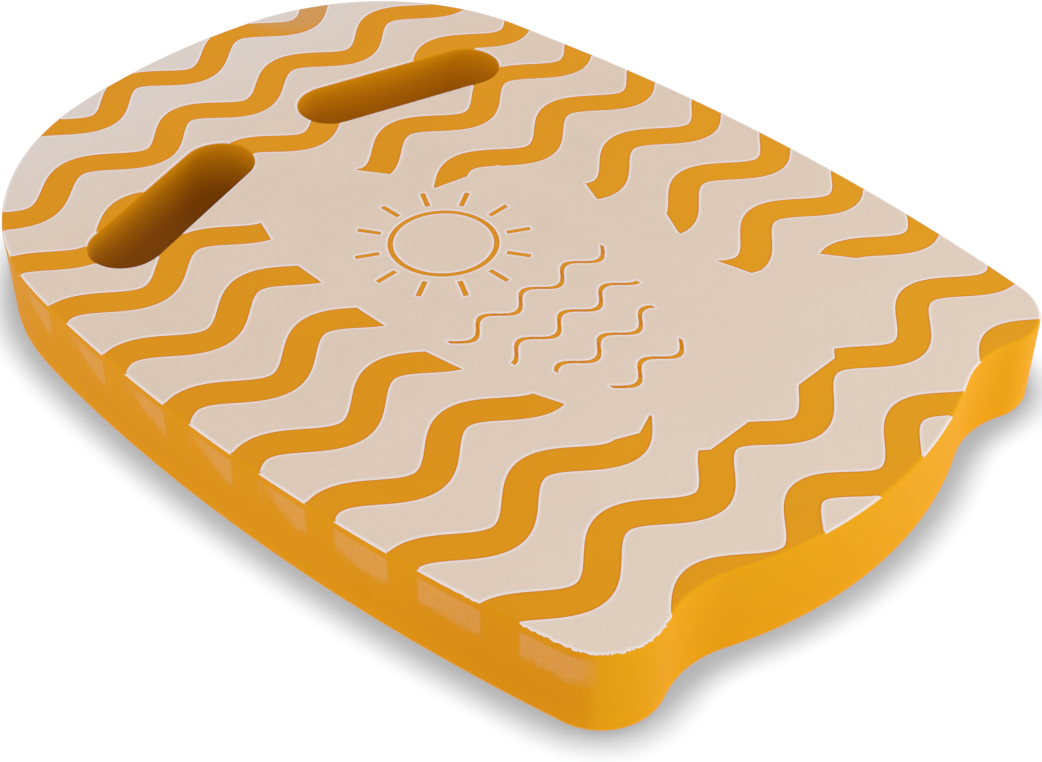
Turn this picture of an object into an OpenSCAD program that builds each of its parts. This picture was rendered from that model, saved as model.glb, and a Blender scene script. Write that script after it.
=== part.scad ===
// Swimming kickboard: a thick foam board with two slanted hand slots and a thin
// printed skin on its top face, cut through by wavy bands that show the foam.
// Origin at the middle of the underside, +Y towards the arched front, +Z up.

/* [Board] */
// Length over all, from the arched front to the middle of the tail
board_length = 420; // [400:1:440]
// Width at the widest place
board_width = 300; // [290:1:315]
// Foam thickness
board_thickness = 38; // [25:1:50]
// Radius of the wall's rounded top and bottom edges
edge_radius = 1; // [0.5:0.25:3]

/* [Outline] */
// Radius of the arched front
front_radius = 280; // [255:1:300]
// Radius of the shoulders between the front and the sides
shoulder_radius = 113; // [103:1:120]
// How far the arched front leans to the right
front_lean = 6; // [0:0.5:9]
// Radius of the long, slightly bowed sides
side_radius = 880; // [760:10:1200]
// Where the board is widest, from its middle towards the front
widest_y = -9; // [-20:1:20]
// Radius of the two tail corners
corner_radius = 24; // [21:1:28]
// How far the tail corners stop short of the middle of the tail
tail_step = 13; // [10:0.5:16]
// Radius of the two hollows in the tail edge
hollow_radius = 41; // [35:1:50]
// Radius of the broad lobe in the middle of the tail
lobe_radius = 178; // [160:1:200]

/* [Hand slots] */
// Length of a slot, end to end
slot_length = 99; // [90:1:104]
// Width of a slot
slot_width = 31.5; // [26:0.5:34]
// Distance from the centre line to a slot's middle
slot_x = 65.4; // [62:0.2:68]
// Distance of a slot's middle from the board's middle, towards the front
slot_y = 112.5; // [108:0.5:116]
// How far the outer ends slope back
slot_tilt = 17; // [8:1:22]
// Broken edge around the slots
slot_chamfer = 0.8; // [0.4:0.1:1.5]

/* [Print] */
// Thickness of the printed skin
print_thickness = 0.4; // [0.2:0.1:1]
// Distance from one wavy band to the next
band_pitch = 39.3; // [38.5:0.1:40]
// Width of a wavy band
band_width = 13; // [10:0.5:14]
// Height of the waves above and below a band's middle
wave_height = 8.5; // [7:0.1:9]
// Middle of the first band in front of the slots
first_band_y = 155.3; // [154:0.1:157]
// Width of the emblem's lines
line_width = 2.2; // [1.5:0.1:3]
// Middle of the emblem, to the right of the board's centre line
emblem_x = -6; // [-8:1:-2]
// Middle of the sun, towards the front
sun_y = 10; // [6:1:13]
// Radius of the sun
sun_radius = 23; // [18:1:24]
// Number of rays
ray_count = 12; // [8:1:16]
// Length of a ray
ray_length = 10; // [6:1:11]

/* [Hidden] */
$fn = 96;

foam_colour = [0.85, 0.58, 0.13];
print_colour = [0.87, 0.80, 0.73];
eps = 0.01;
far = 170;                      // beyond the board's edge in any direction across it
chord_rise = 0.05;              // how far an edge may leave its true arc
edge_steps = 3;                 // flats around a rounded edge
lean_from = 98;                 // distance from the board's middle at which the lean starts
lean_power = 1.15;              // how quickly the lean grows towards the front

// Places where the waves turn, left to right: low and high points by turns.
wave_turns = [-172, -142, -110, -79, -48, -20, 8, 40, 70, 101, 132, 162, 192];
front_tops = [for (i = [3, 5, 7, 9]) wave_turns[i]];    // tops that part the front print
tail_lows = [for (i = [4, 6, 8]) wave_turns[i]];        // low points that part the tail print
wave_step = 2.5;                  // spacing of points along a wave

// Clear panel in the middle of the print, where the bands stop.
clear_panel = [[-22, 96], [-49, 75], [-54, 62], [-58, 40], [-60, 0], [-60, -36],
    [-57, -58], [-50, -80], [-45, -96], [-49, -121], [-38, -126], [-28, -122], [-27, -138],
    [-31, -147], [-27, -150.5], [46, -151], [53, -145], [90, -138], [104, -119], [95, -105],
    [66, -94], [62, -76], [67, -54], [74, -41], [61, -14], [66, -3], [50, 34], [19, 41],
    [13, 62], [5, 75], [4, 95]];

// Short wave lines under the sun: middle height and half length of each.
swell_rows = [[-40, 44], [-61, 36], [-82, 28], [-103, 20]];
swell_length = 24;              // from one top to the next
swell_height = 4;
swell_step = 2;                 // spacing of points along a wave line
ray_gap = 4;                    // between the sun's ring and its rays

// Where a slot and the band behind it meet and part the print, at the left and the right.
left_grip_end = -86;
right_grip_end = 101;

// One of the two points where two circles cross; side 1 is left of the way from a to b.
function crossing(a, ra, b, rb, side) =
    let (d = norm(b - a), along = (ra * ra - rb * rb + d * d) / (2 * d),
        off = sqrt(ra * ra - along * along), u = (b - a) / d)
    a + along * u + side * off * [-u[1], u[0]];
function heading(a, b) = atan2(b[1] - a[1], b[0] - a[0]);
function on_circle(c, r, t) = c + r * [cos(t), sin(t)];

// Centres of the arcs of the right half, each one tangent to its neighbours.
front_centre = [0, board_length / 2 - front_radius];
side_centre = [board_width / 2 - side_radius, widest_y];
shoulder_centre = crossing(front_centre, front_radius - shoulder_radius,
    side_centre, side_radius - shoulder_radius, -1);
corner_y = corner_radius + tail_step - board_length / 2;
corner_centre = [side_centre[0] + sqrt(pow(side_radius - corner_radius, 2)
    - pow(corner_y - widest_y, 2)), corner_y];
lobe_centre = [0, lobe_radius - board_length / 2];
hollow_centre = crossing(corner_centre, corner_radius + hollow_radius,
    lobe_centre, lobe_radius + hollow_radius, 1);

// Arcs of the right half from the front to the tail: centre, radius, first and last
// angle, and 1 where the wall bulges out or -1 where it is hollow.
front_turn = heading(front_centre, shoulder_centre);
side_turn = heading(side_centre, shoulder_centre);
corner_turn = heading(side_centre, corner_centre);
hollow_turn = heading(corner_centre, hollow_centre);
lobe_turn = heading(lobe_centre, hollow_centre);
arcs = [[front_centre, front_radius, 90, front_turn, 1],
    [shoulder_centre, shoulder_radius, front_turn, side_turn, 1],
    [side_centre, side_radius, side_turn, corner_turn, 1],
    [corner_centre, corner_radius, corner_turn, hollow_turn, 1],
    [hollow_centre, hollow_radius, hollow_turn + 180, lobe_turn + 180, -1],
    [lobe_centre, lobe_radius, lobe_turn, -90, 1]];

// Points along the right half, a given distance in from the wall, before the front leans.
function arc_steps(arc, rise) = ceil(abs(arc[3] - arc[2]) / (2 * acos(1 - rise / arc[1])));
function half_outline(inset, rise) = [for (arc = arcs)
    let (n = arc_steps(arc, rise), r = arc[1] - arc[4] * inset)
    for (i = [0 : n - 1]) on_circle(arc[0], r, arc[2] + (arc[3] - arc[2]) * i / n)];
function lean_at(y) =
    front_lean * pow(max(0, y - lean_from) / (board_length / 2 - lean_from), lean_power);
function full_outline(inset, rise) =
    let (half = half_outline(inset, rise), last = len(half) - 1,
        tail = [0, inset - board_length / 2],
        level = concat(half, [tail], [for (i = [last : -1 : 1]) [-half[i][0], half[i][1]]]))
    [for (p = level) p + [lean_at(p[1]), 0]];

// Height of the waves' middle line and the way it leans, at a place across the board.
function turn_before(x) = max([for (i = [0 : len(wave_turns) - 2]) if (wave_turns[i] <= x) i]);
function wave_at(x) =
    let (i = turn_before(x), t = (x - wave_turns[i]) / (wave_turns[i + 1] - wave_turns[i]),
        up = i % 2 == 0 ? 1 : -1)
    -up * wave_height * cos(180 * t);
function wave_lean(x) = (wave_at(x + eps) - wave_at(x - eps)) / (2 * eps);
function wave_edge(y, offset) = [for (x = [-far : wave_step : far])
    let (lean = wave_lean(x), along = sqrt(1 + lean * lean))
    [x - offset * lean / along, y + wave_at(x) + offset / along]];
function band_y(k) = first_band_y - k * band_pitch;
function backwards(list) = [for (i = [len(list) - 1 : -1 : 0]) list[i]];

// Levels of the board's skin from the underside up: height, and distance in from the wall.
edge_turns = [for (i = [0 : edge_steps]) 90 * i / edge_steps];
levels = concat(
    [for (t = edge_turns) [edge_radius * (1 - cos(t)), edge_radius * (1 - sin(t))]],
    [for (t = edge_turns) [board_thickness - edge_radius * (1 - sin(t)),
        edge_radius * (1 - cos(t))]]);

// The solid board with rounded edges, before the slots are cut.
module blank() {
    rings = [for (level = levels)
        [for (p = full_outline(level[1], chord_rise)) [p[0], p[1], level[0]]]];
    n = len(rings[0]);
    last = len(rings) - 1;
    polyhedron(
        points = [for (ring = rings) each ring],
        faces = concat([[for (i = [0 : n - 1]) i]],
            [for (k = [0 : last - 1]) for (i = [0 : n - 1])
                [k * n + i, (k + 1) * n + i, (k + 1) * n + (i + 1) % n, k * n + (i + 1) % n]],
            [[for (i = [n - 1 : -1 : 0]) last * n + i]]),
        convexity = 6);
}

module slot_shape(grow) {
    half = (slot_length - slot_width) / 2;
    for (side = [-1, 1])
        translate([side * half, 0])
            circle(r = slot_width / 2 + grow);
    square([2 * half, slot_width + 2 * grow], center = true);
}

module at_slots() {
    for (side = [-1, 1])
        translate([side * slot_x, slot_y, 0])
            rotate([0, 0, -side * slot_tilt])
                children();
}

// Bevel at the top of a slot: a cone at each end and a wedge between them.
module slot_bevel() {
    half = (slot_length - slot_width) / 2;
    narrow = slot_width / 2;
    wide = narrow + slot_chamfer;
    for (side = [-1, 1])
        translate([side * half, 0, -slot_chamfer])
            cylinder(r1 = narrow, r2 = wide, h = slot_chamfer);
    translate([-half, 0, 0])
        rotate([90, 0, 90])
            linear_extrude(2 * half)
                polygon([[-narrow, -slot_chamfer], [narrow, -slot_chamfer], [wide, 0], [-wide, 0]]);
}

module foam_board() {
    color(foam_colour)
        difference() {
            blank();
            at_slots() {
                translate([0, 0, -1])
                    linear_extrude(board_thickness + 2)
                        slot_shape(0);
                translate([0, 0, board_thickness])
                    slot_bevel();
                mirror([0, 0, 1])
                    slot_bevel();
            }
        }
}

// Part of the printed skin: what lies in the given 2D shape, on the board's flat top.
module skin() {
    color(print_colour)
        translate([0, 0, board_thickness])
            linear_extrude(print_thickness)
                difference() {
                    intersection() {
                        polygon(full_outline(edge_radius, chord_rise));
                        children();
                    }
                    at_slots()
                        slot_shape(slot_chamfer);
                }
}

// Everything between the lower edge of one band and the upper edge of a later one.
module between(first, last) {
    polygon(concat(wave_edge(band_y(first), -band_width / 2),
        backwards(wave_edge(band_y(last), band_width / 2))));
}

// From the lower edge of band 1 into band 8, whose tops the clear panel cuts off.
module panel_area() {
    polygon(concat(wave_edge(band_y(1), -band_width / 2),
        backwards(wave_edge(band_y(8), -band_width / 4))));
}

module band(k) {
    polygon(concat(wave_edge(band_y(k), band_width / 2),
        backwards(wave_edge(band_y(k), -band_width / 2))));
}

// A block across the board between two distances from the centre line.
module span(from, to) {
    translate([from, -far * 2])
        square([to - from, far * 4]);
}

module front_print(from, to) {
    skin()
        intersection() {
            between(-2, -1);
            span(from, to);
        }
}

module grip_print(from, to) {
    skin()
        intersection() {
            between(1, 2);
            span(from, to);
        }
}

module swell(row) {
    waves = [for (x = [-row[1] : swell_step : row[1]])
        [emblem_x + x, row[0] + swell_height * cos(360 * x / swell_length)]];
    polygon(concat([for (p = waves) p + [0, line_width / 2]],
        backwards([for (p = waves) p - [0, line_width / 2]])));
}

module sun_rays() {
    for (i = [0 : ray_count - 1])
        rotate([0, 0, i * 360 / ray_count])
            translate([sun_radius + ray_gap, -line_width / 2])
                square([ray_length, line_width]);
}

module main_panel_print() {
    skin()
        difference() {
            panel_area();
            difference() {
                for (k = [2 : 8])
                    band(k);
                polygon(clear_panel);
            }
            for (side = [[-far, left_grip_end], [right_grip_end, far]])
                intersection() {
                    between(1, 2);
                    span(side[0], side[1]);
                }
            translate([emblem_x, sun_y]) {
                circle(r = sun_radius);
                sun_rays();
            }
            for (row = swell_rows)
                swell(row);
        }
}

module sun_disc_print() {
    skin()
        translate([emblem_x, sun_y])
            circle(r = sun_radius - line_width);
}

module front_strip_print() {
    skin()
        between(-1, 0);
}

module hand_strip_print() {
    skin()
        between(0, 1);
}

module tail_strip_print() {
    skin()
        between(8, 9);
}

module tail_print(from, to) {
    skin()
        intersection() {
            between(9, 10);
            span(from, to);
        }
}

foam_board();
front_print(front_tops[0], front_tops[1]);  // front_left_print
front_print(front_tops[1], front_tops[2]);  // front_middle_print
front_print(front_tops[2], front_tops[3]);  // front_right_print
front_strip_print();
hand_strip_print();
grip_print(-far, left_grip_end);  // left_grip_print
grip_print(right_grip_end, far);  // right_grip_print
main_panel_print();
sun_disc_print();
tail_strip_print();
tail_print(tail_lows[0], tail_lows[1]);  // tail_left_print
tail_print(tail_lows[1], tail_lows[2]);  // tail_right_print
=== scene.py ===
import math

import bmesh
import bpy
import numpy as np
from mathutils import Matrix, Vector, kdtree, noise
from mathutils.geometry import delaunay_2d_cdt


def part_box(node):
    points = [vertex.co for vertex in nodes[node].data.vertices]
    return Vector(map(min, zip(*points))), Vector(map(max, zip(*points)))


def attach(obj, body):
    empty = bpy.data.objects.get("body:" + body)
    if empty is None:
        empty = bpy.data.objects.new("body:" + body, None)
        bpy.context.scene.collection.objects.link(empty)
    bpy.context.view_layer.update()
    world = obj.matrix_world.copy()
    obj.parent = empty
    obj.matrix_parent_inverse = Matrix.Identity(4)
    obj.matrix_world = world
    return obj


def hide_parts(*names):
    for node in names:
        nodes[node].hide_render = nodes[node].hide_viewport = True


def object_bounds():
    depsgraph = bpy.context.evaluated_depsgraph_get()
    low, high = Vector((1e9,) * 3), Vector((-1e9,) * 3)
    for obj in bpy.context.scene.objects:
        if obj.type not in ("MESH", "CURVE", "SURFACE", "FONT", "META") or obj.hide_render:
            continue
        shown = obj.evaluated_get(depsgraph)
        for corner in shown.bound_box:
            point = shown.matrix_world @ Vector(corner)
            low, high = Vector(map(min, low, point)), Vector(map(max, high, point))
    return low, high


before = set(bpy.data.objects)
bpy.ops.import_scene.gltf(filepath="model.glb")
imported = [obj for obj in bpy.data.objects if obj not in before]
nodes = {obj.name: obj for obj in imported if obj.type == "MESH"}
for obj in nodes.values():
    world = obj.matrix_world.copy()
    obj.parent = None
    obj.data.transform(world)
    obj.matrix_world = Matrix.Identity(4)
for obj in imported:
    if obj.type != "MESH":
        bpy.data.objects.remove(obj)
cadLow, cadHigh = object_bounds()
mm = 0.001
print("frame loaded:", len(nodes), "nodes")


def node(tree, kind, at=(0, 0), **values):
    made = tree.nodes.new(kind)
    made.location = at
    for key, value in values.items():
        setattr(made, key, value)
    return made


def math2(tree, operation, a, b=None):
    made = node(tree, "ShaderNodeMath", operation=operation)
    for i, value in enumerate([a, b]):
        if isinstance(value, bpy.types.NodeSocket):
            tree.links.new(value, made.inputs[i])
        elif value is not None:
            made.inputs[i].default_value = value
    return made.outputs[0]


def mapRange(tree, value, low, high, toLow=0.0, toHigh=1.0, smooth=False):
    made = node(tree, "ShaderNodeMapRange", interpolation_type="SMOOTHSTEP" if smooth else "LINEAR")
    limits = {"Value": value, "From Min": low, "From Max": high, "To Min": toLow, "To Max": toHigh}
    for key, item in limits.items():
        if isinstance(item, bpy.types.NodeSocket):
            tree.links.new(item, made.inputs[key])
        else:
            made.inputs[key].default_value = item
    return made.outputs["Result"]


def greyOf(tree, value):
    made = node(tree, "ShaderNodeCombineColor")
    for i in range(3):
        tree.links.new(value, made.inputs[i])
    return made.outputs[0]


view = {
    "azimuth": 45.79,      # turned from the tail towards the left side, in degrees
    "elevation": 40.10,
    "roll": -0.08,
    "distance": 0.7473,    # from the camera to the spot it looks at
    "target": (-0.0471, -0.0743, 0.038),
    "lens": 68.5,
}


def makeCamera():
    data = bpy.data.cameras.new("camera")
    data.lens = view["lens"]
    data.sensor_width = 36
    data.clip_start = 0.02
    camera = bpy.data.objects.new("camera", data)
    bpy.context.collection.objects.link(camera)
    turn = math.radians(view["azimuth"])
    rise = math.radians(view["elevation"])
    away = Vector((-math.sin(turn) * math.cos(rise),
                   -math.cos(turn) * math.cos(rise), math.sin(rise)))
    camera.location = Vector(view["target"]) + away * view["distance"]
    aim = (-away).to_track_quat("-Z", "Y").to_matrix().to_4x4()
    camera.rotation_euler = aim.to_euler()
    camera.rotation_euler.rotate_axis("Z", math.radians(view["roll"]))
    bpy.context.scene.camera = camera


studio = {
    "skyStrength": 1.0,
    "floorSize": 12.0,
    "floorColour": (0.9, 0.9, 0.9, 1),
    "floorGap": 0.2 * mm,          # the floor lies so far under the board
    "shadowReach": 20 * mm,        # width of the soft shadow where the board meets the floor
    "shadowRange": (0.30, 0.93),   # how open the floor is where the shadow is darkest, and at its end
    "shadowShades": (0.03, 1.02),  # brightness of the floor at those two places
    "shadowLeast": 0.46,           # the floor is never darker than this
    "lamps": {   # place, aim, size, power in watts and colour of each soft lamp
        "tailLamp": ((0.95, -1.10, 0.14), (0.0, -0.15, 0.02), 0.7, 7.0, (1.0, 1.0, 0.88)),
        "sideLamp": ((-1.25, 0.05, 0.13), (0.0, 0.0, 0.02), 0.7, 1.7, (1.0, 1.0, 0.94)),
    },
}


def makeStudio():
    world = bpy.data.worlds.new("softSky")
    world.use_nodes = True
    world.node_tree.nodes["Background"].inputs["Color"].default_value = (1, 1, 1, 1)
    world.node_tree.nodes["Background"].inputs["Strength"].default_value = studio["skyStrength"]
    bpy.context.scene.world = world
    bpy.context.scene.view_settings.view_transform = "Standard"
    for name, (place, aim, size, power, colour) in studio["lamps"].items():
        data = bpy.data.lights.new(name, "AREA")
        data.shape = "DISK"
        data.size = size
        data.energy = power
        data.color = colour
        lamp = bpy.data.objects.new(name, data)
        bpy.context.collection.objects.link(lamp)
        lamp.location = place
        lamp.rotation_euler = (Vector(aim) - Vector(place)).to_track_quat("-Z", "Y").to_euler()


def makeFloor():
    half = studio["floorSize"] / 2
    mesh = bpy.data.meshes.new("floor")
    corners = [(-half, -half, 0), (half, -half, 0), (half, half, 0), (-half, half, 0)]
    mesh.from_pydata(corners, [], [(0, 1, 2, 3)])
    floor = bpy.data.objects.new("floor", mesh)
    bpy.context.collection.objects.link(floor)
    floor.location.z = cadLow.z - studio["floorGap"]
    paint = bpy.data.materials.new("floorPaint")
    paint.use_nodes = True
    tree = paint.node_tree
    shader = tree.nodes["Principled BSDF"]
    shader.inputs["Base Color"].default_value = studio["floorColour"]
    shader.inputs["Specular IOR Level"].default_value = 0.0
    # The camera sees plain white with a soft neutral shadow. The paint only lights the board.
    openness = node(tree, "ShaderNodeAmbientOcclusion", samples=12)
    openness.inputs["Distance"].default_value = studio["shadowReach"]
    shade = mapRange(tree, openness.outputs["AO"], *studio["shadowRange"], *studio["shadowShades"])
    shade = math2(tree, "MAXIMUM", shade, studio["shadowLeast"])
    seen = node(tree, "ShaderNodeEmission")
    tree.links.new(greyOf(tree, shade), seen.inputs["Color"])
    mix = node(tree, "ShaderNodeMixShader")
    tree.links.new(node(tree, "ShaderNodeLightPath").outputs["Is Camera Ray"], mix.inputs[0])
    tree.links.new(shader.outputs[0], mix.inputs[1])
    tree.links.new(seen.outputs[0], mix.inputs[2])
    tree.links.new(mix.outputs[0], tree.nodes["Material Output"].inputs["Surface"])
    mesh.materials.append(paint)


makeCamera()
makeStudio()
makeFloor()
print("camera, lamps and floor made")


def mergedCopy(name):
    bm = bmesh.new()
    bm.from_mesh(nodes[name].data)
    bmesh.ops.remove_doubles(bm, verts=bm.verts, dist=1e-6)
    return bm


def joinedLoops(edges):
    # Closed runs of points from a set of edges that each meet one more at either end.
    neighbours = {}
    for edge in edges:
        a, b = edge.verts
        neighbours.setdefault(a, []).append(b)
        neighbours.setdefault(b, []).append(a)
    left = dict.fromkeys(sorted(neighbours, key=lambda v: (v.co.x, v.co.y)))
    loops = []
    while left:
        start = next(iter(left))
        loop, before, here = [], None, start
        while here is not None and here in left:
            del left[here]
            loop.append(here.co.xy.to_tuple())
            onward = [v for v in neighbours[here] if v is not before and v in left]
            before, here = here, (onward[0] if onward else None)
        loops.append(np.array(loop))
    return loops


def topLoops(name, tolerance=1e-6):
    bm = mergedCopy(name)
    height = max(v.co.z for v in bm.verts)
    level = [f for f in bm.faces if abs(f.calc_center_median().z - height) < tolerance]
    upper = {f for f in level if f.normal.z > 0.9}
    rim = [e for e in bm.edges if sum(f in upper for f in e.link_faces) == 1]
    loops = joinedLoops(rim)
    bm.free()
    return loops


def middleLoops(name):
    # Outline and slots halfway up the board's wall.
    bm = mergedCopy(name)
    height = (cadLow.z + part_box(name)[1].z) / 2
    cut = bmesh.ops.bisect_plane(bm, geom=bm.verts[:] + bm.edges[:] + bm.faces[:], dist=1e-7,
                                 plane_co=(0, 0, height), plane_no=(0, 0, 1))
    edges = [g for g in cut["geom_cut"] if isinstance(g, bmesh.types.BMEdge)]
    loops = joinedLoops(edges)
    bm.free()
    return loops


def loopArea(loop):
    x, y = loop[:, 0], loop[:, 1]
    return 0.5 * float(np.sum(x * np.roll(y, -1) - np.roll(x, -1) * y))


def orderedLoops(loops):
    # The outer loop comes first, counterclockwise, and then its holes, clockwise.
    loops = sorted(loops, key=lambda loop: -abs(loopArea(loop)))
    return [loop if (loopArea(loop) > 0) == (i == 0) else loop[::-1] for i, loop in enumerate(loops)]


def turnsOf(loop):
    # How far the way turns at each point, in degrees.
    before, after = loop - np.roll(loop, 1, axis=0), np.roll(loop, -1, axis=0) - loop
    cross = before[:, 0] * after[:, 1] - before[:, 1] * after[:, 0]
    return np.abs(np.degrees(np.arctan2(cross, np.sum(before * after, axis=1))))


def apart(loop, least):
    # Leaves out points on top of the one before.
    return loop[np.linalg.norm(loop - np.roll(loop, 1, axis=0), axis=1) > least]


def thinned(loop, least=0.02 * mm, straight=0.1):
    # Leaves out points in the middle of a straight run too.
    loop = apart(loop, least)
    return loop[turnsOf(loop) > straight]


def withoutSpikes(loop, least=0.05 * mm, sharpest=172, rounds=4):
    # Leaves out the tips of runs that double back on themselves.
    for attempt in range(rounds):
        loop = apart(loop, least)
        loop = loop[turnsOf(loop) < sharpest]
    return loop


def smoothLoop(loop, spacing, cornerTurn=28):
    # Runs a smooth curve through the points, keeps true corners, and spaces new points evenly.
    loop = thinned(loop)
    step = np.roll(loop, -1, axis=0) - loop
    length = np.linalg.norm(step, axis=1)
    way = step / length[:, None]
    wayIn, lengthIn = np.roll(way, 1, axis=0), np.roll(length, 1)
    turn = np.degrees(np.arccos(np.clip(np.sum(way * wayIn, axis=1), -1, 1)))
    corner = turn > cornerTurn
    blend = (wayIn * length[:, None] + way * lengthIn[:, None]) / (length + lengthIn)[:, None]
    blend = np.where((length > 3 * lengthIn)[:, None], way, blend)
    blend = np.where((lengthIn > 3 * length)[:, None], wayIn, blend)
    blend /= np.linalg.norm(blend, axis=1)[:, None]
    out = np.where(corner[:, None], way, blend)
    into = np.where(corner[:, None], wayIn, blend)
    points = []
    for i in range(len(loop)):
        j = (i + 1) % len(loop)
        count = max(1, math.ceil(length[i] / spacing))
        t = np.arange(count)[:, None] / count
        points.append((2 * t**3 - 3 * t**2 + 1) * loop[i]
                      + (t**3 - 2 * t**2 + t) * length[i] * out[i]
                      + (3 * t**2 - 2 * t**3) * loop[j]
                      + (t**3 - t**2) * length[i] * into[j])
    return np.concatenate(points)


def inwardNormals(loop):
    # Unit normals to the left of the way round, which is inwards on a counterclockwise loop.
    way = np.roll(loop, -1, axis=0) - np.roll(loop, 1, axis=0)
    way /= np.linalg.norm(way, axis=1)[:, None]
    return np.stack([-way[:, 1], way[:, 0]], axis=1)


board = {
    "edgeRadius": 1.0 * mm,       # rounding along every edge of the foam
    "roundSteps": 5,
    "wallSpacing": 1.6 * mm,      # spacing of points round the walls
    "wallRows": 10,               # rows of faces up a wall, between its rounded edges
    "topRow": 0.9 * mm,           # first row of points inside the rims of the flat top
    "topClearance": 0.35 * mm,    # no point of the top lies nearer a rim than this
    "fill": 1.0,                  # closed-cell foam, quite firm
}

boardLow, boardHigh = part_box("foam_board")
thickness = boardHigh.z - boardLow.z
wallLoops = [smoothLoop(loop, board["wallSpacing"], cornerTurn=60)
             for loop in orderedLoops(middleLoops("foam_board"))]   # the outline, then the slots
print("outlines read:", [len(loop) for loop in wallLoops])


def groupInput(tree, name, kind, value=None):
    socket = tree.interface.new_socket(name, in_out="INPUT", socket_type=kind)
    if value is not None:
        socket.default_value = value
    return socket


def roundedWallTree():
    # Sweeps a wall section with rounded edges round every loop, and fills the underside.
    tree = bpy.data.node_groups.new("roundedWall", "GeometryNodeTree")
    tree.interface.new_socket("Geometry", in_out="INPUT", socket_type="NodeSocketGeometry")
    groupInput(tree, "Thickness", "NodeSocketFloat", 0.04)
    groupInput(tree, "Edge Radius", "NodeSocketFloat", 0.001)
    groupInput(tree, "Round Steps", "NodeSocketInt", 4)
    groupInput(tree, "Wall Rows", "NodeSocketInt", 8)
    groupInput(tree, "Material", "NodeSocketMaterial")
    tree.interface.new_socket("Geometry", in_out="OUTPUT", socket_type="NodeSocketGeometry")
    start = node(tree, "NodeGroupInput", (-1400, 0))
    end = node(tree, "NodeGroupOutput", (900, 0))
    link = tree.links.new
    high, radius = start.outputs["Thickness"], start.outputs["Edge Radius"]
    steps, rows = start.outputs["Round Steps"], start.outputs["Wall Rows"]

    def calc(operation, a, b=None):
        return math2(tree, operation, a, b)

    # The section: points count up the lower rounding, the wall, then the upper rounding.
    total = calc("ADD", calc("MULTIPLY", steps, 2.0), calc("ADD", rows, 1.0))
    line = node(tree, "GeometryNodeMeshLine", (-900, -300), mode="OFFSET")
    link(total, line.inputs["Count"])
    index = node(tree, "GeometryNodeInputIndex").outputs[0]
    lowTurn = calc("MULTIPLY", calc("MINIMUM", calc("DIVIDE", index, steps), 1.0), math.pi / 2)
    pastWall = calc("SUBTRACT", calc("SUBTRACT", index, steps), rows)
    highTurn = calc("MULTIPLY", calc("MAXIMUM", calc("DIVIDE", pastWall, steps), 0.0), math.pi / 2)
    climb = calc("DIVIDE", calc("SUBTRACT", index, steps), rows)
    climb = calc("MINIMUM", calc("MAXIMUM", climb, 0.0), 1.0)
    straight = calc("SUBTRACT", high, calc("MULTIPLY", radius, 2.0))
    lowInset = calc("SUBTRACT", 1.0, calc("SINE", lowTurn))
    highInset = calc("SUBTRACT", 1.0, calc("COSINE", highTurn))
    inset = calc("MULTIPLY", calc("ADD", lowInset, highInset), radius)
    rise = calc("ADD", calc("SUBTRACT", 1.0, calc("COSINE", lowTurn)), calc("SINE", highTurn))
    rise = calc("ADD", calc("MULTIPLY", rise, radius), calc("MULTIPLY", climb, straight))
    place = node(tree, "ShaderNodeCombineXYZ", (-500, -300))
    link(calc("MULTIPLY", inset, -1.0), place.inputs["X"])   # a swept section points out and down
    link(calc("MULTIPLY", rise, -1.0), place.inputs["Y"])
    section = node(tree, "GeometryNodeSetPosition", (-300, -300))
    link(line.outputs["Mesh"], section.inputs["Geometry"])
    link(place.outputs[0], section.inputs["Position"])
    sectionCurve = node(tree, "GeometryNodeMeshToCurve", (-100, -300))
    link(section.outputs[0], sectionCurve.inputs["Mesh"])

    route = node(tree, "GeometryNodeMeshToCurve", (-900, 100))
    link(start.outputs["Geometry"], route.inputs["Mesh"])
    upright = node(tree, "GeometryNodeSetCurveNormal", (-700, 100), mode="Z_UP")
    link(route.outputs[0], upright.inputs["Curve"])
    sweep = node(tree, "GeometryNodeCurveToMesh", (100, 0))
    link(upright.outputs[0], sweep.inputs["Curve"])
    link(sectionCurve.outputs[0], sweep.inputs["Profile Curve"])

    # The flat underside, inside the lower rounding.
    tangent = node(tree, "GeometryNodeInputTangent", (-900, 400))
    side = node(tree, "ShaderNodeVectorMath", (-700, 400), operation="CROSS_PRODUCT")
    side.inputs[0].default_value = (0, 0, 1)
    link(tangent.outputs[0], side.inputs[1])
    across = node(tree, "ShaderNodeVectorMath", (-600, 400), operation="NORMALIZE")
    link(side.outputs[0], across.inputs[0])
    shift = node(tree, "ShaderNodeVectorMath", (-500, 400), operation="SCALE")
    link(across.outputs[0], shift.inputs[0])
    link(radius, shift.inputs["Scale"])
    shrunk = node(tree, "GeometryNodeSetPosition", (-300, 400))
    link(upright.outputs[0], shrunk.inputs["Geometry"])
    link(shift.outputs[0], shrunk.inputs["Offset"])
    under = node(tree, "GeometryNodeFillCurve", (-100, 400), mode="TRIANGLES")
    link(shrunk.outputs[0], under.inputs["Curve"])
    down = node(tree, "GeometryNodeFlipFaces", (100, 400))
    link(under.outputs[0], down.inputs["Mesh"])

    both = node(tree, "GeometryNodeJoinGeometry", (300, 100))
    link(sweep.outputs[0], both.inputs[0])
    link(down.outputs[0], both.inputs[0])
    weld = node(tree, "GeometryNodeMergeByDistance", (450, 100))
    weld.inputs["Distance"].default_value = 0.02 * mm
    link(both.outputs[0], weld.inputs["Geometry"])
    whole = node(tree, "GeometryNodeRealizeInstances", (600, 100))
    link(weld.outputs[0], whole.inputs[0])
    finish = node(tree, "GeometryNodeSetMaterial", (750, 100))
    link(whole.outputs[0], finish.inputs["Geometry"])
    link(start.outputs["Material"], finish.inputs["Material"])
    link(finish.outputs[0], end.inputs[0])
    return tree


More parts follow.
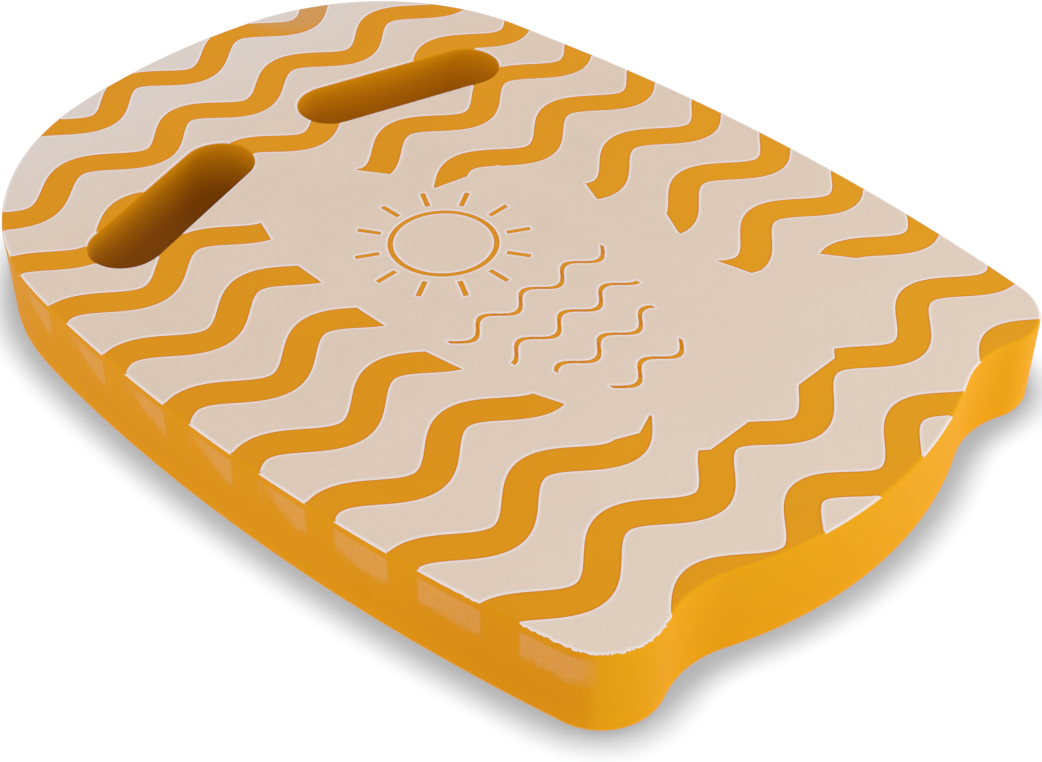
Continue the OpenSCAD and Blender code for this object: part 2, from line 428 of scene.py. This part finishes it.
def bakedNodes(name, source, tree, values):
    # Runs a node tree on a mesh and returns the plain result as a new mesh.
    holder = bpy.data.objects.new(name, source)
    bpy.context.collection.objects.link(holder)
    modifier = holder.modifiers.new("nodes", "NODES")
    modifier.node_group = tree
    for item in tree.interface.items_tree:
        if item.item_type == "SOCKET" and item.in_out == "INPUT" and item.name in values:
            modifier[item.identifier] = values[item.name]
    bpy.context.view_layer.update()
    evaluated = holder.evaluated_get(bpy.context.evaluated_depsgraph_get())
    made = bpy.data.meshes.new_from_object(evaluated)
    bpy.data.objects.remove(holder)
    return made


def loopsMesh(name, loops, z):
    points, edges = [], []
    for loop in loops:
        first = len(points)
        points += [(x, y, z) for x, y in loop]
        edges += [(first + i, first + (i + 1) % len(loop)) for i in range(len(loop))]
    mesh = bpy.data.meshes.new(name)
    mesh.from_pydata(points, edges, [])
    return mesh


def insideLoops(points, loops, batch=2000):
    # Even-odd test of points against all the loops together, a batch at a time.
    odd = np.zeros(len(points), bool)
    for loop in loops:
        x0, y0 = loop[:, 0], loop[:, 1]
        x1, y1 = np.roll(x0, -1), np.roll(y0, -1)
        rise = np.where(y1 == y0, 1e-12, y1 - y0)
        for first in range(0, len(points), batch):
            some = slice(first, first + batch)
            px, py = points[some, 0:1], points[some, 1:2]
            hits = ((y0 > py) != (y1 > py)) & (px < (x1 - x0) * (py - y0) / rise + x0)
            odd[some] ^= hits.sum(axis=1) % 2 == 1
    return odd


def triangulated(loops, extra):
    # Fills between closed loops, with extra points inside. Each triangle is three numbers of the
    # points that went in.
    points = np.concatenate([*loops, extra]) if len(extra) else np.concatenate(loops)
    edges, first = [], 0
    for loop in loops:
        edges += [(first + i, first + (i + 1) % len(loop)) for i in range(len(loop))]
        first += len(loop)
    scaled = [Vector(p) for p in (points * 1000).tolist()]   # in millimetres
    made = delaunay_2d_cdt(scaled, edges, [], 1, 1e-6)
    source = [old[0] if old else -1 for old in made[3]]
    corners = np.array([[source[i] for i in face] for face in made[2]])
    corners = corners[(corners >= 0).all(axis=1)]
    return corners[insideLoops(points[corners].mean(axis=1), loops)]


def nearTree(points):
    tree = kdtree.KDTree(len(points))
    for i, (x, y) in enumerate(points):
        tree.insert((x, y, 0), i)
    tree.balance()
    return tree


def densePoints(loop, spacing):
    step = np.roll(loop, -1, axis=0) - loop
    counts = np.maximum(1, np.ceil(np.linalg.norm(step, axis=1) / spacing)).astype(int)
    runs = [loop[i] + step[i] * (np.arange(n)[:, None] / n) for i, n in enumerate(counts)]
    return np.concatenate(runs)


def clearPoints(points, tree, least):
    # Only the points that are at least so far from everything in the tree.
    keep = [tree.find((x, y, 0))[2] >= least for x, y in points]
    return points[np.array(keep)] if len(points) else points


print("reading the printed islands")
prints = {
    "spacing": 0.9 * mm,          # of points along an island's edge
    "filmThickness": 0.12 * mm,
    "wrapDepth": 0.22 * mm,       # how near the wall the film comes, over the rounded edge
    "rows": (0.18 * mm, 0.55 * mm, 1.05 * mm, 1.5 * mm),   # rows of points in from its edge
    "firstRise": 0.85,            # share of its thickness that the film has at the first row
    "rimWidth": 1.25 * mm,        # of the painted highlight inside the film's edge
    "rimFade": 1.5,               # how crisply that line ends
    "edgeShadeWidth": 0.9 * mm,         # of the painted shade line on the foam outside it
    "roughCorner": (-0.118, -0.196),              # the film frays round this tail corner
    "roughReach": 0.075,
    "roughDepth": 0.9 * mm,
    "roughScales": (900, 2600),                   # of the larger and the finer bites
}
printNames = sorted(name for name in nodes if name.endswith("_print"))
islandLoops = {}
for name in printNames:
    islandLoops[name] = [smoothLoop(loop, prints["spacing"]) for loop in orderedLoops(topLoops(name))]
allPrintLoops = [loop for loops in islandLoops.values() for loop in loops]
wallPoints = np.concatenate([densePoints(loop, 0.1 * mm) for loop in wallLoops])
wallTree = nearTree(wallPoints)


def printEdgePoints():
    # Rows of points on the foam beside the edge of the print: on it, and a little way out.
    edge = np.concatenate(allPrintLoops)
    width = prints["edgeShadeWidth"]
    out = np.concatenate([loop - inwardNormals(loop) * width for loop in allPrintLoops])
    edgeTree = nearTree(np.concatenate([densePoints(loop, 0.3 * mm) for loop in allPrintLoops]))
    out = clearPoints(out[~insideLoops(out, allPrintLoops)], edgeTree, 0.9 * width)
    return edge, out


def coverAlong(loop):
    # For points along the outline: how far each is from where the print above it starts or ends,
    # plus under the print and minus beside it, and its share of the way from the front end of
    # that print to the other.
    fine = densePoints(loop, 0.2 * mm)
    under = insideLoops(fine + inwardNormals(fine) * 1.6 * mm, allPrintLoops)
    along = np.concatenate([[0], np.cumsum(np.linalg.norm(np.diff(fine, axis=0), axis=1))])
    whole = along[-1] + np.linalg.norm(fine[0] - fine[-1])
    gaps = along[:, None] - along[under != np.roll(under, 1)][None, :]
    since, until = (gaps % whole).min(axis=1), (-gaps % whole).min(axis=1)
    nearest = np.minimum(since, until)
    share = np.where(fine[:, 0] < 0, since, until) / np.maximum(since + until, 1e-6)
    return fine, np.where(under, nearest, -nearest), share


def addAttribute(mesh, name, values):
    attribute = mesh.attributes.new(name, "FLOAT", "POINT")
    attribute.data.foreach_set("value", np.asarray(values, np.float32))


def makeFoamBoard(material):
    wall = bakedNodes("wall", loopsMesh("wallLoops", wallLoops, boardLow.z), roundedWallTree(), {
        "Thickness": thickness,
        "Edge Radius": board["edgeRadius"],
        "Round Steps": board["roundSteps"],
        "Wall Rows": board["wallRows"],
        "Material": material,
    })
    bm = bmesh.new()
    bm.from_mesh(wall)
    openEdges = [e for e in bm.edges if len(e.link_faces) == 1]
    rimVerts = {v.co.xy.to_tuple(): v for e in openEdges for v in e.verts}
    rims = orderedLoops(joinedLoops(openEdges))

    # The top is filled from its rims inwards, through points along the edges of the print.
    edge, out = printEdgePoints()
    inner = np.concatenate([loop + inwardNormals(loop) * board["topRow"] for loop in rims])
    extra = np.concatenate([edge, out, inner])
    marks = np.concatenate([np.ones(len(edge)), np.zeros(len(out) + len(inner))])
    rimTree = nearTree(np.concatenate([densePoints(loop, 0.3 * mm) for loop in rims]))
    clear = np.array([rimTree.find((x, y, 0))[2] > board["topClearance"] for x, y in extra])
    keep = insideLoops(extra, rims) & clear
    extra, marks = extra[keep], marks[keep]
    top = boardLow.z + thickness
    verts = [rimVerts[tuple(p)] for loop in rims for p in loop]
    verts += [bm.verts.new((x, y, top)) for x, y in extra]
    for corners in triangulated(rims, extra):
        bm.faces.new([verts[i] for i in corners])
    bmesh.ops.recalc_face_normals(bm, faces=bm.faces)
    mesh = bpy.data.meshes.new("foam_core")
    bm.verts.index_update()
    # Points on the print's edge carry the painted shade line.
    edgeShade = np.zeros(len(bm.verts))
    for vert, mark in zip(verts[-len(extra):], marks):
        edgeShade[vert.index] = mark
    bm.to_mesh(mesh)
    bm.free()
    mesh.materials.append(material)
    mesh.shade_smooth()
    addAttribute(mesh, "printEdgeShade", edgeShade)
    markWalls(mesh)
    levelFlats(mesh, top)
    made = bpy.data.objects.new("foam_core", mesh)
    bpy.context.collection.objects.link(made)
    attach(made, "root")
    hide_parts("foam_board")
    return made


def markWalls(mesh):
    # What the finish needs to know at each point: where it is along the outer wall or in a slot.
    fine, cover, share = coverAlong(wallLoops[0])
    tree, inward = nearTree(fine), inwardNormals(fine)
    co = np.array([v.co for v in mesh.vertices])
    found = [tree.find((x, y, 0)) for x, y, z in co]
    onWall = np.array([f[2] < 1.5 * mm for f in found])
    number = np.array([f[1] for f in found])
    addAttribute(mesh, "outerWall", [f[2] < 0.6 * mm for f in found])
    addAttribute(mesh, "printCover", np.where(onWall, cover[number] / mm, -50))
    addAttribute(mesh, "printShare", np.where(onWall, share[number], 0))
    addAttribute(mesh, "longSide", np.where(onWall, np.abs(inward[number, 0]), 0))
    addAttribute(mesh, "tailSide", np.where(onWall, np.clip(inward[number, 1], 0, 1), 0))
    slotTree = nearTree(np.concatenate([densePoints(loop, 0.4 * mm) for loop in wallLoops[1:]]))
    addAttribute(mesh, "slotWall", [slotTree.find((x, y, 0))[2] < 0.6 * mm for x, y, z in co])


def levelFlats(mesh, top, tolerance=1e-6):
    # The flat faces keep level shading right up to their rounded edges.
    normals = np.array([v.normal for v in mesh.vertices])
    heights = np.array([v.co.z for v in mesh.vertices])
    flat = (heights > top - tolerance) | (heights < boardLow.z + tolerance)
    normals[flat, 0:2] = 0
    normals[flat, 2] = np.sign(heights[flat] - top / 2)
    mesh.normals_split_custom_set_from_vertices(normals.tolist())


def overEdge(points, depth):
    # Where the film meets the board's edge, it runs a little way over the rounding.
    moved = points.copy()
    for i, (x, y) in enumerate(points):
        near, _, gap = wallTree.find((x, y, 0))
        if 0.3 * mm < gap < 1.15 * board["edgeRadius"]:
            moved[i] += (np.array(near[:2]) - points[i]) * (1 - depth[i] / gap)
    return moved


def frayedDepth(points):
    # The film's depth on the edge, uneven round one tail corner.
    depth = np.full(len(points), prints["wrapDepth"])
    cornerX, cornerY = prints["roughCorner"]
    large, small = prints["roughScales"]
    for i, (x, y) in enumerate(points):
        reach = math.hypot(x - cornerX, y - cornerY) / prints["roughReach"]
        if reach < 1:
            bite = noise.noise((x * large, y * large, 3)) + 0.25
            bite += 0.35 * noise.noise((x * small, y * small, 9))
            depth[i] += prints["roughDepth"] * max(0, bite) * (1 - reach) ** 0.5
    return depth


def filmPlace(points, lift):
    # Points on the board's top and over its rounded edge, raised by the film's own thickness.
    radius, top = board["edgeRadius"], boardLow.z + thickness
    placed = []
    for (x, y), up in zip(points, lift):
        near, _, gap = wallTree.find((x, y, 0))
        lean = max(0.0, min(1.0, (radius - gap) / radius))
        drop = radius - math.sqrt(max(0.0, radius**2 - (radius * lean) ** 2))
        way = (np.array(near[:2]) - (x, y)) / max(gap, 1e-6)
        level = math.sqrt(1 - lean**2)
        placed.append((x + way[0] * lean * up, y + way[1] * lean * up, top - drop + level * up))
    return placed


def middlesAcross(corners, rim):
    # Middles of the sides that cross the film straight from edge to edge. The underside has the
    # same sides, so the film would have no thickness there.
    sides = np.concatenate([corners[:, [0, 1]], corners[:, [1, 2]], corners[:, [2, 0]]])
    sides, uses = np.unique(np.sort(sides, axis=1), axis=0, return_counts=True)
    across = sides[(uses == 2) & (sides < len(rim)).all(axis=1)]
    return rim[across].mean(axis=1)


def makePrint(name, material):
    loops = [withoutSpikes(overEdge(loop, frayedDepth(loop))) for loop in islandLoops[name]]
    rim = np.concatenate(loops)
    rimTree = nearTree(np.concatenate([densePoints(loop, 0.25 * mm) for loop in loops]))
    rows, depths = [], []
    for row in prints["rows"]:
        found = np.concatenate([loop + inwardNormals(loop) * row for loop in loops])
        found = found[insideLoops(found, loops)]
        found = clearPoints(found, rimTree, 0.9 * row)
        rows.append(found)
        depths.append(np.full(len(found), row))
    extra, depth = np.concatenate(rows), np.concatenate([np.zeros(len(rim)), *depths])
    corners = triangulated(loops, extra)
    for attempt in range(2):
        middles = middlesAcross(corners, rim)
        if not len(middles):
            break
        extra = np.concatenate([extra, middles])
        depth = np.concatenate([depth, [rimTree.find((x, y, 0))[2] for x, y in middles]])
        corners = triangulated(loops, extra)
    firstRow, firstRise = prints["rows"][0], prints["firstRise"]
    lift = firstRise * np.clip(depth / firstRow, 0, 1) + (1 - firstRise) * (depth > firstRow)
    places = filmPlace(np.concatenate([rim, extra]), prints["filmThickness"] * lift)
    faces = [tuple(int(i) for i in f) for f in corners]
    under = [tuple(int(i) for i in f[::-1]) for f in triangulated(loops, np.zeros((0, 2)))]
    mesh = bpy.data.meshes.new(name.replace("_print", "_skin"))
    mesh.from_pydata(places, [], faces + under)
    mesh.materials.append(material)
    mesh.shade_smooth()
    # The rim attribute carries the painted highlight along the film's edge.
    addAttribute(mesh, "rim", np.clip((1 - depth / prints["rimWidth"]) * prints["rimFade"], 0, 1))
    bm = bmesh.new()
    bm.from_mesh(mesh)
    for edge in bm.edges:
        if edge.verts[0].index < len(rim) and edge.verts[1].index < len(rim):
            edge.smooth = False
    bm.to_mesh(mesh)
    bm.free()
    made = bpy.data.objects.new(mesh.name, mesh)
    bpy.context.collection.objects.link(made)
    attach(made, "root")
    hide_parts(name)
    return made


def newGroup(name, inputs, outputs):
    group = bpy.data.node_groups.new(name, "ShaderNodeTree")
    for label, kind, value in inputs:
        groupInput(group, label, kind, value)
    for label, kind in outputs:
        group.interface.new_socket(label, in_out="OUTPUT", socket_type=kind)
    start = node(group, "NodeGroupInput", (-900, 0))
    end = node(group, "NodeGroupOutput", (600, 0))
    return group, start, end


def noiseNode(tree, vector, scale, detail, roughness=0.5):
    made = node(tree, "ShaderNodeTexNoise")
    tree.links.new(vector, made.inputs["Vector"])
    if isinstance(scale, bpy.types.NodeSocket):
        tree.links.new(scale, made.inputs["Scale"])
    else:
        made.inputs["Scale"].default_value = scale
    made.inputs["Detail"].default_value = detail
    made.inputs["Roughness"].default_value = roughness
    return made.outputs["Fac"]


def grainGroup():
    # Fine cells and slow mottling: Tone multiplies a colour, Height feeds a bump.
    group, start, end = newGroup("foamGrain", [
        ("Vector", "NodeSocketVector", None),
        ("Cell Scale", "NodeSocketFloat", 1400.0),
        ("Cell Contrast", "NodeSocketFloat", 0.05),
        ("Mottle Scale", "NodeSocketFloat", 35.0),
        ("Mottle Contrast", "NodeSocketFloat", 0.04),
    ], [("Tone", "NodeSocketFloat"), ("Height", "NodeSocketFloat")])
    given = start.outputs
    cells = noiseNode(group, given["Vector"], given["Cell Scale"], 3.0, 0.65)
    mottle = noiseNode(group, given["Vector"], given["Mottle Scale"], 4.0, 0.55)
    fine = math2(group, "MULTIPLY", math2(group, "SUBTRACT", cells, 0.5), given["Cell Contrast"])
    slow = math2(group, "MULTIPLY", math2(group, "SUBTRACT", mottle, 0.5), given["Mottle Contrast"])
    tone = math2(group, "ADD", math2(group, "ADD", fine, slow), 1.0)
    height = math2(group, "ADD", math2(group, "MULTIPLY", cells, 0.8), math2(group, "MULTIPLY", mottle, 0.6))
    group.links.new(tone, end.inputs["Tone"])
    group.links.new(height, end.inputs["Height"])
    return group


def placedGroup(tree, group, vector, **values):
    made = node(tree, "ShaderNodeGroup")
    made.node_tree = group
    tree.links.new(vector, made.inputs["Vector"])
    for key, value in values.items():
        made.inputs[key].default_value = value
    return made


def colourMix(tree, factor, a, b, kind="MIX"):
    made = node(tree, "ShaderNodeMix", data_type="RGBA", blend_type=kind)
    for key, item in ((0, factor), (6, a), (7, b)):
        if isinstance(item, bpy.types.NodeSocket):
            tree.links.new(item, made.inputs[key])
        else:
            made.inputs[key].default_value = item
    return made.outputs[2]


def attributeNode(tree, name):
    return node(tree, "ShaderNodeAttribute", attribute_name=name).outputs["Fac"]


def longSideMask(tree):
    return mapRange(tree, attributeNode(tree, "longSide"), 0.72, 0.96, smooth=True)


foamFinish = {
    "grain": {"Cell Scale": 1300.0, "Cell Contrast": 0.06, "Mottle Contrast": 0.05},
    "toneScale": 18.0,                         # of the slow change between the first two ambers
    "amber": (0.690, 0.280, 0.0044, 1),
    "deepAmber": (0.672, 0.266, 0.0036, 1),
    "paintedLightAmber": (0.715, 0.308, 0.0060, 1),   # painted light: brighter towards the right and the tail
    "paintedLightRange": (-50 * mm, 250 * mm),
    # painted light: the walls take a differently lit copy of the same amber
    "paintedWallLight": (0.700, 0.284, 0.0002, 1),
    "paintedTailLight": (0.755, 0.340, 0.0008, 1),    # painted light: the wall that faces the tail is lit brighter
    "paintedShadeAmber": (0.670, 0.261, 0.0002, 1),     # painted shade on the long sides near the tail
    "paintedShadeRange": (-100 * mm, -150 * mm),
    "slotShade": (0.30, 0.085, 0.0, 1),        # painted shade deep inside the hand slots
    "slotShadeShares": (0.03, 0.66),                # of that painted shade, at the top and at the depth below
    "slotShadeHeights": (36 * mm, 14 * mm),
    "slotShadeSides": (1.0, 0.35),                  # how much of the painted shade the left and the right slot have
    "edgeShadeLine": (0.62, 0.200, 0.0, 1),          # painted shade line along the edge of the print
    "edgeShadeShare": 1.0,
    "paintedFootLight": (0.95, 0.43, 0.003, 1),        # painted light: a bright line round the foot of the wall
    "footLightShare": 0.75,
    "footLightHeights": (2.2 * mm, 0.6 * mm),
    "bounceShare": 0.16,                         # painted bounce light in the same colour, fading upwards from that line
    "bounceHeights": (11 * mm, 2 * mm),
    "overrunAndSheen": (0.72, 0.59, 0.47, 1),            # partly thin print carried down the long sides, partly a painted highlight
    "ghostShare": 0.17,
    "ghostTop": 35.8 * mm,
    "ghostReach": (4.5 * mm, 14 * mm),         # at the front end of each patch and at the other
    "ghostWedges": (-40 * mm, -110 * mm),      # between these the patches turn into blocks
    "ghostScales": (700.0, 160.0),             # of its speckle and its streaks
    "paintedSheen": (0.50, 0.34, 0.21, 1),            # painted sheen near the front edge
    "sheenSpot": (0.080, 0.203, 0.038),
    "sheenReach": (8 * mm, 34 * mm),
    "sheenScale": 45.0,
    "roughness": (0.55, 0.68),
    "specular": 0.07,
    "bump": 0.10,
    "bumpDistance": 0.3 * mm,
}


def finishFoam(material):
    tree = material.node_tree
    shader = tree.nodes["Principled BSDF"]
    link = tree.links.new
    where = node(tree, "ShaderNodeTexCoord", (-1400, 0)).outputs["Object"]
    split = node(tree, "ShaderNodeSeparateXYZ")
    link(where, split.inputs[0])
    height = split.outputs["Z"]
    grain = placedGroup(tree, foamGrain, where, **foamFinish["grain"])
    slow = mapRange(tree, noiseNode(tree, where, foamFinish["toneScale"], 3.0), 0.35, 0.65)
    base = colourMix(tree, slow, foamFinish["amber"], foamFinish["deepAmber"])
    # Painted light: the amber is brighter towards the right and the tail, where the lamps light it.
    litSide = math2(tree, "SUBTRACT", split.outputs["X"], split.outputs["Y"])
    litSide = mapRange(tree, litSide, *foamFinish["paintedLightRange"], smooth=True)
    base = colourMix(tree, litSide, base, foamFinish["paintedLightAmber"])
    # Painted light: outer and slot walls take a differently lit copy of the same amber.
    wall = math2(tree, "MAXIMUM", attributeNode(tree, "outerWall"), attributeNode(tree, "slotWall"))
    base = colourMix(tree, wall, base, foamFinish["paintedWallLight"])
    # Painted light: the wall that faces the tail is painted brighter.
    tailLight = mapRange(tree, attributeNode(tree, "tailSide"), 0.25, 0.85, smooth=True)
    base = colourMix(tree, tailLight, base, foamFinish["paintedTailLight"])
    # Painted shade: the long sides are darker near the tail.
    sideShade = mapRange(tree, split.outputs["Y"], *foamFinish["paintedShadeRange"], smooth=True)
    sideShade = math2(tree, "MULTIPLY", sideShade, longSideMask(tree))
    base = colourMix(tree, sideShade, base, foamFinish["paintedShadeAmber"])
    base = colourMix(tree, 1.0, base, greyOf(tree, grain.outputs["Tone"]), "MULTIPLY")

    # Painted shade: a darker line on the foam along the edge of the print.
    edgeShade = math2(tree, "MULTIPLY", attributeNode(tree, "printEdgeShade"), foamFinish["edgeShadeShare"])
    base = colourMix(tree, edgeShade, base, foamFinish["edgeShadeLine"])
    # Painted light round the foot of the wall: a bright line, and bounce light fading upwards from it.
    bounceShare, footLightShare = foamFinish["bounceShare"], foamFinish["footLightShare"]
    bounceLight = mapRange(tree, height, *foamFinish["bounceHeights"], 0.0, bounceShare, smooth=True)
    footLight = mapRange(tree, height, *foamFinish["footLightHeights"], 0.0, footLightShare, smooth=True)
    footLight = math2(tree, "MAXIMUM", bounceLight, footLight)
    base = colourMix(tree, footLight, base, foamFinish["paintedFootLight"])
    # Painted shade down the slot walls, darker towards the bottom and heavier in the left slot.
    slotDepthShade = mapRange(tree, height, *foamFinish["slotShadeHeights"], *foamFinish["slotShadeShares"])
    slotDepthShade = math2(tree, "MULTIPLY", attributeNode(tree, "slotWall"), slotDepthShade)
    side = mapRange(tree, split.outputs["X"], -20 * mm, 20 * mm, *foamFinish["slotShadeSides"])
    slotDepthShade = math2(tree, "MULTIPLY", slotDepthShade, side)
    base = colourMix(tree, slotDepthShade, base, foamFinish["slotShade"])
    base = colourMix(tree, overrunAndSheenMask(tree, where, split), base, foamFinish["overrunAndSheen"])
    base = colourMix(tree, paintedSheenMask(tree, where), base, foamFinish["paintedSheen"])
    link(base, shader.inputs["Base Color"])
    finishSurface(tree, grain, foamFinish)


def overrunAndSheenMask(tree, where, split):
    # Pale patches down the long sides: partly thin print that ran over the edge, partly a painted highlight.
    # Those towards the front start as a wedge, those near the tail at their full depth.
    speckleScale, streakScale = foamFinish["ghostScales"]
    speckle = noiseNode(tree, where, speckleScale, 4.0, 0.75)
    streaks = noiseNode(tree, where, streakScale, 4.0, 0.7)
    nearTail = mapRange(tree, split.outputs["Y"], *foamFinish["ghostWedges"], smooth=True)
    share = math2(tree, "MAXIMUM", attributeNode(tree, "printShare"), nearTail)
    cover = mapRange(tree, attributeNode(tree, "printCover"), -0.2, 0.8, smooth=True)
    fadeIn = mapRange(tree, share, 0.0, 0.55, 0.15, 1.0, smooth=True)
    reach = mapRange(tree, share, 0.0, 0.8, *foamFinish["ghostReach"])
    reach = math2(tree, "MULTIPLY", reach, mapRange(tree, streaks, 0.3, 0.7, 0.85, 1.15))
    depth = math2(tree, "SUBTRACT", foamFinish["ghostTop"], split.outputs["Z"])
    below = mapRange(tree, math2(tree, "SUBTRACT", reach, depth), -1.5 * mm, 4.0 * mm, smooth=True)
    above = mapRange(tree, depth, 0.0, 2.0 * mm, smooth=True)
    broken = mapRange(tree, speckle, 0.32, 0.68, 0.35, 1.0)
    ends = math2(tree, "MULTIPLY", math2(tree, "MULTIPLY", cover, fadeIn), longSideMask(tree))
    patch = math2(tree, "MULTIPLY", math2(tree, "MULTIPLY", below, above), ends)
    return math2(tree, "MULTIPLY", math2(tree, "MULTIPLY", patch, broken), foamFinish["ghostShare"])


def paintedSheenMask(tree, where):
    # Painted sheen: a soft pale patch near the front edge, where the light reflects.
    away = node(tree, "ShaderNodeVectorMath", operation="DISTANCE")
    tree.links.new(where, away.inputs[0])
    away.inputs[1].default_value = foamFinish["sheenSpot"]
    uneven = mapRange(tree, noiseNode(tree, where, foamFinish["sheenScale"], 3.0), 0.3, 0.7, 0.4, 0.75)
    near, far = foamFinish["sheenReach"]
    spot = mapRange(tree, away.outputs["Value"], far, near, smooth=True)
    return math2(tree, "MULTIPLY", spot, uneven)


def finishSurface(tree, grain, values):
    # Roughness and a fine bump from the grain, and a weak reflection.
    shader = tree.nodes["Principled BSDF"]
    rough = mapRange(tree, grain.outputs["Height"], 0.4, 1.0, *values["roughness"])
    tree.links.new(rough, shader.inputs["Roughness"])
    bump = node(tree, "ShaderNodeBump")
    bump.inputs["Strength"].default_value = values["bump"]
    bump.inputs["Distance"].default_value = values["bumpDistance"]
    tree.links.new(grain.outputs["Height"], bump.inputs["Height"])
    tree.links.new(bump.outputs[0], shader.inputs["Normal"])
    shader.inputs["Specular IOR Level"].default_value = values["specular"]


printFinish = {
    "grain": {"Cell Scale": 950.0, "Cell Contrast": 0.16, "Mottle Contrast": 0.03},
    "toneScale": 26.0,                       # of the slow change between the first two creams
    "cream": (0.682, 0.552, 0.456, 1),
    "warmCream": (0.672, 0.540, 0.441, 1),
    "sheenCream": (0.672, 0.598, 0.556, 1),   # painted sheen: cooler towards the front
    "sheenRange": (105 * mm, 205 * mm),
    "paleCream": (0.711, 0.590, 0.496, 1),   # towards the tail
    "paleRange": (-20 * mm, -220 * mm),
    "rimHighlight": (0.77, 0.72, 0.73, 1),       # painted highlight along the edge of the film
    "rimHighlightShare": 0.85,
    "roughness": (0.52, 0.64),
    "specular": 0.08,
    "bump": 0.12,
    "bumpDistance": 0.3 * mm,
}


def finishPrint(material):
    tree = material.node_tree
    shader = tree.nodes["Principled BSDF"]
    link = tree.links.new
    where = node(tree, "ShaderNodeTexCoord", (-1400, 0)).outputs["Object"]
    grain = placedGroup(tree, foamGrain, where, **printFinish["grain"])
    slow = mapRange(tree, noiseNode(tree, where, printFinish["toneScale"], 3.0), 0.35, 0.65)
    base = colourMix(tree, slow, printFinish["cream"], printFinish["warmCream"])
    split = node(tree, "ShaderNodeSeparateXYZ")
    link(where, split.inputs[0])
    # Painted sheen: the cream turns cooler towards the front edge.
    frontSheen = mapRange(tree, split.outputs["Y"], *printFinish["sheenRange"], smooth=True)
    base = colourMix(tree, frontSheen, base, printFinish["sheenCream"])
    back = mapRange(tree, split.outputs["Y"], *printFinish["paleRange"])
    base = colourMix(tree, back, base, printFinish["paleCream"])
    base = colourMix(tree, 1.0, base, greyOf(tree, grain.outputs["Tone"]), "MULTIPLY")
    # Painted highlight: a paler line along the edge of the film.
    rim = math2(tree, "MULTIPLY", attributeNode(tree, "rim"), printFinish["rimHighlightShare"])
    base = colourMix(tree, rim, base, printFinish["rimHighlight"])
    link(base, shader.inputs["Base Color"])
    finishSurface(tree, grain, printFinish)


def newMaterial(name):
    made = bpy.data.materials.new(name)
    made.use_nodes = True
    return made


foamGrain = grainGroup()
foamMaterial = newMaterial("amberFoam")
printMaterial = newMaterial("creamPrint")
finishFoam(foamMaterial)
finishPrint(printMaterial)
print("finishes made")

foam = makeFoamBoard(foamMaterial)
print("foam board made:", len(foam.data.polygons), "faces")
for name in printNames:
    piece = makePrint(name, printMaterial)
    print(piece.name, "made:", len(piece.data.polygons), "faces")
